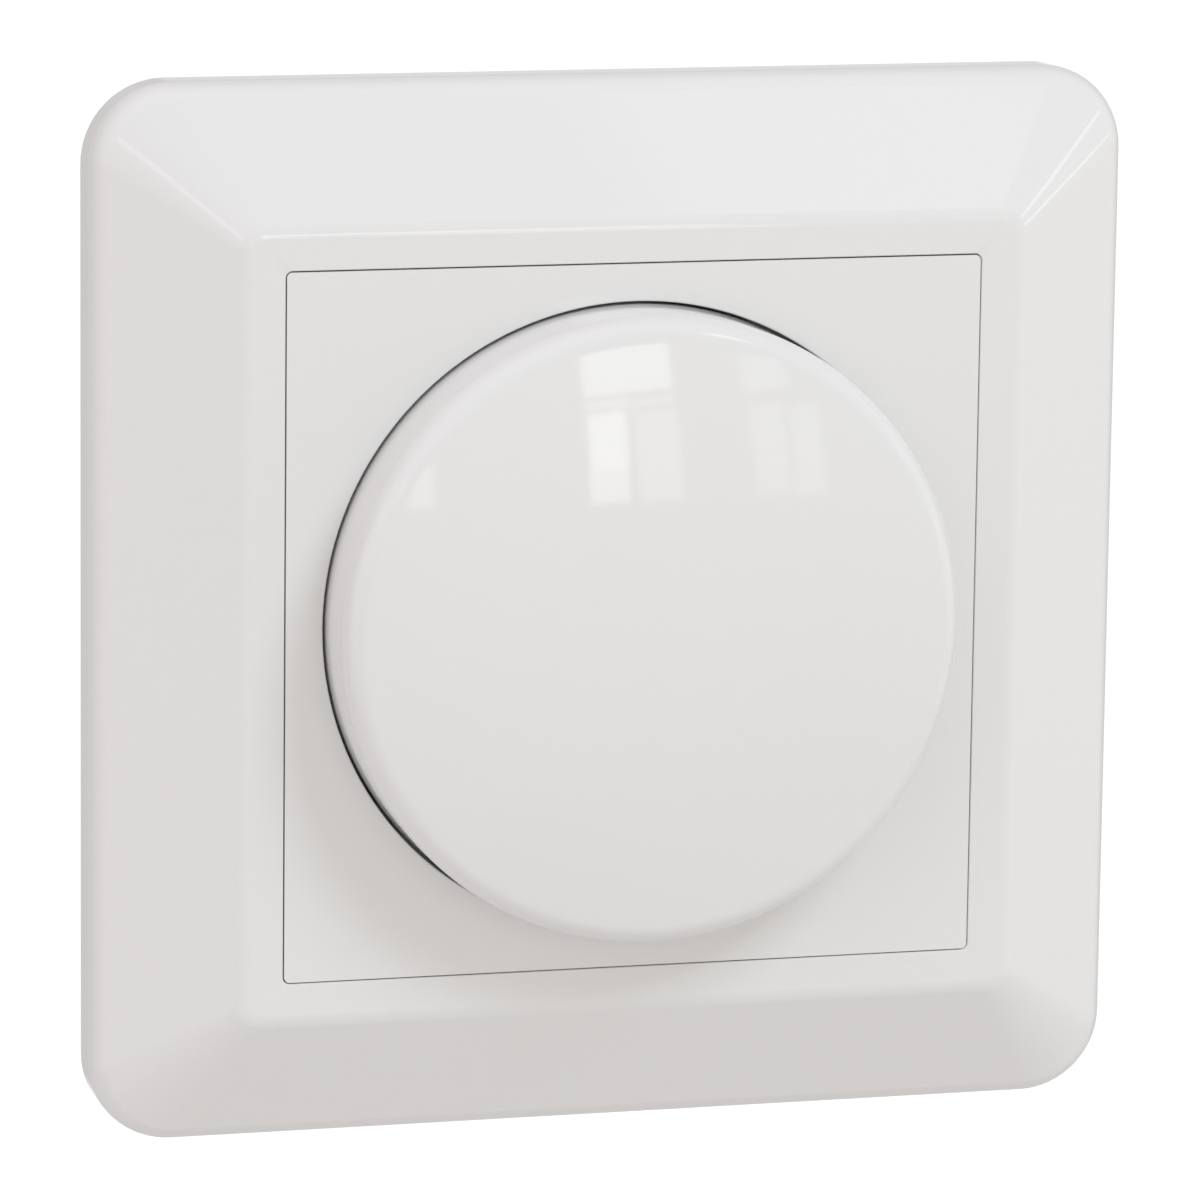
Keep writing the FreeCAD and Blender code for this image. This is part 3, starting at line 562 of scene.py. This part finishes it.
metalLooks = {
    "zincSteel": {"light": (0.66, 0.68, 0.7), "dark": (0.52, 0.53, 0.53), "lineStretch": (1, 60, 60),
                  "lineScale": 60, "blotchScale": 140, "roughness": 0.34, "roughSpread": 0.22,
                  "bump": 0.25, "depth": 0.02 * mm},
    "bushBrass": {"light": (0.72, 0.62, 0.38), "dark": (0.6, 0.5, 0.28), "lineStretch": (1, 90, 1),
                  "lineScale": 60, "blotchScale": 300, "roughness": 0.28, "roughSpread": 0.15,
                  "bump": 0.25, "depth": 0.015 * mm},
    "shaftAluminium": {"light": (0.76, 0.77, 0.78), "dark": (0.66, 0.67, 0.68), "lineStretch": (1, 40, 40),
                       "lineScale": 80, "blotchScale": 200, "roughness": 0.32, "roughSpread": 0.15,
                       "bump": 0.25, "depth": 0.015 * mm},
    "springSteel": {"light": (0.45, 0.45, 0.46), "dark": (0.32, 0.31, 0.31), "lineStretch": (30, 1, 30),
                    "lineScale": 80, "blotchScale": 400, "roughness": 0.26, "roughSpread": 0.12,
                    "bump": 0.2, "depth": 0.01 * mm},
    "potSteel": {"light": (0.6, 0.6, 0.57), "dark": (0.5, 0.5, 0.47), "lineStretch": (1, 40, 40),
                 "lineScale": 80, "blotchScale": 260, "roughness": 0.3, "roughSpread": 0.14,
                 "bump": 0.2, "depth": 0.01 * mm},
    "contactBrass": {"light": (0.74, 0.58, 0.27), "dark": (0.58, 0.42, 0.17), "lineStretch": (40, 1, 40),
                     "lineScale": 80, "blotchScale": 320, "roughness": 0.3, "roughSpread": 0.15,
                     "bump": 0.2, "depth": 0.01 * mm},
    "copperWire": {"light": (0.66, 0.24, 0.07), "dark": (0.48, 0.14, 0.04), "lineStretch": (1, 1, 1),
                   "lineScale": 300, "blotchScale": 500, "roughness": 0.22, "roughSpread": 0.1,
                   "bump": 0.1, "depth": 0.01 * mm},
    "capPlating": {"light": (0.76, 0.75, 0.72), "dark": (0.64, 0.63, 0.6), "lineStretch": (60, 1, 1),
                   "lineScale": 60, "blotchScale": 250, "roughness": 0.2, "roughSpread": 0.1,
                   "bump": 0.15, "depth": 0.01 * mm},
}
finishes = {name: mouldedPlastic(name, look) for name, look in plasticLooks.items()}
finishes.update({name: rolledMetal(name, look) for name, look in metalLooks.items()})


glassLook = {
    "colour": (0.93, 0.96, 0.95),
    "hazeScale": 700,
    "hazeDetail": 3.0,
    "roughness": 0.04,
    "roughSpread": 0.06,
    "clearness": 0.9,
    "ior": 1.5,
}


def fuseGlass():
    material, graph = newMaterial("fuseGlass")
    place = graph.add("TexCoord", out=3)
    haze = graph.noise(place, glassLook["hazeScale"], glassLook["hazeDetail"])
    principled(graph, {"Base Color": rgba(glassLook["colour"]),
                       "Roughness": glassLook["roughness"] + haze * glassLook["roughSpread"],
                       "Transmission Weight": glassLook["clearness"], "IOR": glassLook["ior"]})
    return material


finishes["fuseGlass"] = fuseGlass()
slotFinish = {
    "white_gloss": whitePlastic,
    "zinc_steel": finishes["zincSteel"],
    "bush_brass": finishes["bushBrass"],
    "shaft_aluminium": finishes["shaftAluminium"],
    "spring_steel": finishes["springSteel"],
    "insert_grey": finishes["insertGrey"],
    "pot_steel": finishes["potSteel"],
    "wafer_brown": finishes["waferBrown"],
    "black_moulding": finishes["blackMoulding"],
    "contact_brass": finishes["contactBrass"],
    "plunger_white": finishes["plungerWhite"],
    "board_green": finishes["boardGreen"],
    "chip_ceramic": finishes["chipCeramic"],
    "pad_silicone": finishes["padSilicone"],
    "core_coating": finishes["coreCoating"],
    "copper_wire": finishes["copperWire"],
    "capacitor_red": finishes["capacitorRed"],
    "capacitor_sleeve": finishes["capacitorSleeve"],
    "blue_epoxy": finishes["blueEpoxy"],
    "fuse_glass": finishes["fuseGlass"],
    "fuse_cap_plating": finishes["capPlating"],
    "terminal_moulding": finishes["terminalMoulding"],
}
for part in frame["record"]["subparts"]:
    node = frame["nodes"][part["node"]]
    for holder in node.material_slots:
        holder.material = slotFinish[part["material_slot"]]

springShape = {
    "radius": 2.8,
    "wire": 0.25,
    "ends": (11.27, 14.73),
    "turns": 4,
    "stepsPerTurn": 32,
    "wireSides": 12,
    "creaseAngle": 50,
    "seat": 15.0,
    "keep": 0.625,
}


def buildSpring():
    # a coil that is squeezed against the switch's back wall when the knob is pushed
    shape = springShape
    low, high = shape["ends"]
    steps = shape["turns"] * shape["stepsPerTurn"]
    bm = bmesh.new()
    place = Matrix.Translation(Vector((shape["radius"], low, 0)) * mm)
    wire = bmesh.ops.create_circle(bm, cap_ends=False, radius=shape["wire"] * mm,
                                   segments=shape["wireSides"], matrix=place)["verts"]
    loop = list({edge for vert in wire for edge in vert.link_edges})
    bmesh.ops.spin(bm, geom=wire + loop, cent=(0, 0, 0), axis=(0, 1, 0),
                   dvec=(0, (high - low) / steps * mm, 0), angle=2 * math.pi * shape["turns"],
                   steps=steps, use_merge=False, use_duplicate=False)
    ends = [edge for edge in bm.edges if edge.is_boundary]
    bmesh.ops.holes_fill(bm, edges=ends, sides=0)
    spring = finishMesh(bm, "returnSpring", finishes["springSteel"], "insert", ["return_spring"],
                        shape["creaseAngle"])
    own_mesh(spring)


buildSpring()

# Stage, light and camera

stageLook = {
    "floorDrop": 0.30,
    "floorReach": 0.62,
    "floorSteps": 96,
    "floorColour": (0.82, 0.82, 0.81),
    "floorRoughness": 0.8,
    "fill": 0.2,
    "wall": 0.35,
    "wallAim": (0.0, 1.0, 0.0),
    "wallEdge": 0.6,
    "wallFade": 0.2,
    "card": 0.52,
    "cardAim": (0.26, 0.95, -0.18),
    "cardEdge": 0.94,
    "cardFade": 0.04,
    "focus": 5.0,
}
# soft glows of the room, strongest toward one side each
glows = [
    {"toward": (0.0, -1.0, 0.0), "colour": (0.61, 0.53, 0.43)},
    {"toward": (-1.0, -0.15, 0.0), "colour": (1.0, 0.93, 0.90)},
    {"toward": (-0.6, -0.45, 0.66), "colour": (0.62, 0.65, 0.72)},
    {"toward": (1.0, -0.15, 0.0), "colour": (1.03, 0.96, 0.93)},
    {"toward": (0.0, -0.6, -0.8), "colour": (0.62, 0.66, 0.80)},
    {"toward": (0.0, 0.0, 1.0), "colour": (0.66, 0.52, 0.52)},
]
keyLight = {
    "from": (0.40, -0.60, 0.69),
    "away": 1.3,
    "size": 0.45,
    "power": 5.65,
    "colour": (0.79, 0.92, 1.0),
}
# bright things the gloss mirrors: degrees to the right of straight out, degrees up, and brightness
panes = [
    {"azimuth": (8.4, 16.6), "elevation": (10.5, 14.7), "radiance": 2.8},
    {"azimuth": (8.7, 12.6), "elevation": (9.3, 10.0), "radiance": 2.2},
    {"azimuth": (12.6, 16.7), "elevation": (9.3, 10.0), "radiance": 1.4},
    {"azimuth": (8.8, 12.3), "elevation": (4.0, 8.95), "radiance": 3.5},
    {"azimuth": (8.8, 12.3), "elevation": (1.2, 4.0), "radiance": 2.6},
    {"azimuth": (13.1, 17.1), "elevation": (1.2, 8.95), "radiance": 1.3},
    {"azimuth": (23.1, 27.5), "elevation": (9.7, 13.1), "radiance": 1.1},
    {"azimuth": (23.7, 26.9), "elevation": (1.1, 8.5), "radiance": 1.0},
    {"azimuth": (27.4, 30.2), "elevation": (0.8, 8.2), "radiance": 1.0},
    {"azimuth": (-7.7, -4.9), "elevation": (1.2, 5.2), "radiance": 1.5},
    {"azimuth": (27.0, 33.0), "elevation": (47.0, 56.0), "radiance": 0.6},
    {"azimuth": (31.0, 40.0), "elevation": (36.0, 43.0), "radiance": 3.4},
    {"azimuth": (64.8, 67.4), "elevation": (13.5, 17.5), "radiance": 2.0},
    {"azimuth": (73.0, 75.8), "elevation": (1.5, 4.5), "radiance": 2.0},
    {"azimuth": (-39.5, -34.5), "elevation": (15.0, 21.0), "radiance": 1.2},
]
paneLook = {"away": 3.0, "lean": 2.8, "colour": (0.97, 0.99, 1.0)}
cameraPlace = {
    "place": (-0.15676, -0.56620, 0.10843),
    "aim": (0.26266, 0.94750, -0.18237),
    "roll": 0.70,
    "lens": 224.64,
    "sensor": 36.0,
    "nearest": 0.05,
}


def buildFloor():
    bm = bmesh.new()
    place = Matrix.Translation((0, 0, -stageLook["floorDrop"]))
    bmesh.ops.create_circle(bm, cap_ends=True, radius=stageLook["floorReach"],
                            segments=stageLook["floorSteps"], matrix=place)
    mesh = bpy.data.meshes.new("floor")
    bm.to_mesh(mesh)
    bm.free()
    material, graph = newMaterial("floorPaper")
    principled(graph, {"Base Color": rgba(stageLook["floorColour"]),
                       "Roughness": stageLook["floorRoughness"]})
    mesh.materials.append(material)
    floor = bpy.data.objects.new("floor", mesh)
    bpy.context.scene.collection.objects.link(floor)


def buildWorld():
    # an even glow, broad soft ones from several sides, a pale wall behind and a white card on it
    world = bpy.data.worlds.new("studio")
    bpy.context.scene.world = world
    world.use_nodes = True
    graph = Graph(world.node_tree)
    look = stageLook
    toward = graph.add("TexCoord", out=0)
    behind = graph.vector("DOT_PRODUCT", toward, look["wallAim"], out=1)
    wall = graph.clamped((behind - look["wallEdge"]) / look["wallFade"])
    middle = graph.vector("DOT_PRODUCT", toward, look["cardAim"], out=1)
    card = graph.clamped((middle - look["cardEdge"]) / look["cardFade"])
    even = look["fill"] + look["wall"] * wall + look["card"] * card
    light = graph.vector("SCALE", (1.0, 1.0, 1.0), Scale=even)
    for glow in glows:
        facing = graph.vector("DOT_PRODUCT", toward, tuple(Vector(glow["toward"]).normalized()), out=1)
        amount = graph.clamped(facing) ** look["focus"]
        light = graph.vector("ADD", light, graph.vector("SCALE", glow["colour"], Scale=amount))
    back = graph.add("Background", {}, {"Color": light, "Strength": 1.0})
    graph.add("OutputWorld", {}, {"Surface": back})


def addAreaLight(name, place, size, power, colour, lean=0.0):
    data = bpy.data.lights.new(name, "AREA")
    data.shape = "RECTANGLE"
    data.size, data.size_y = size
    data.energy = power
    data.color = colour
    lamp = bpy.data.objects.new(name, data)
    lamp.location = place
    lamp.rotation_mode = "QUATERNION"
    facing = (-Vector(place)).to_track_quat("-Z", "Y")
    lamp.rotation_quaternion = facing @ Quaternion((0, 0, 1), math.radians(lean))
    bpy.context.scene.collection.objects.link(lamp)
    return lamp


def buildLights():
    key = keyLight
    place = Vector(key["from"]).normalized() * key["away"]
    softbox = addAreaLight("keySoftbox", place, (key["size"], key["size"]), key["power"], key["colour"])
    softbox.visible_glossy = False
    for number, pane in enumerate(panes):
        across, tall = pane["azimuth"], pane["elevation"]
        azimuth = math.radians(sum(across) / 2)
        elevation = math.radians(sum(tall) / 2)
        away = paneLook["away"]
        spot = Vector((math.sin(azimuth) * math.cos(elevation), -math.cos(azimuth) * math.cos(elevation),
                       math.sin(elevation))) * away
        width = away * math.radians(across[1] - across[0]) * math.cos(elevation)
        height = away * math.radians(tall[1] - tall[0])
        power = pane["radiance"] * width * height * math.pi
        addAreaLight(f"pane{number}", spot, (width, height), power, paneLook["colour"], paneLook["lean"])


def buildCamera():
    data = bpy.data.cameras.new("camera")
    data.lens = cameraPlace["lens"]
    data.sensor_width = cameraPlace["sensor"]
    data.clip_start = cameraPlace["nearest"]
    camera = bpy.data.objects.new("camera", data)
    forward = Vector(cameraPlace["aim"]).normalized()
    right = forward.cross(Vector((0, 0, 1))).normalized()
    up = right.cross(forward)
    turn = Matrix((right, up, -forward)).transposed().to_4x4()
    roll = Matrix.Rotation(math.radians(cameraPlace["roll"]), 4, "Z")
    camera.matrix_world = Matrix.Translation(cameraPlace["place"]) @ turn @ roll
    bpy.context.scene.collection.objects.link(camera)
    bpy.context.scene.camera = camera


buildFloor()
buildWorld()
buildLights()
buildCamera()
bpy.context.scene.view_settings.view_transform = "Standard"
print("stage, lights and camera ready")
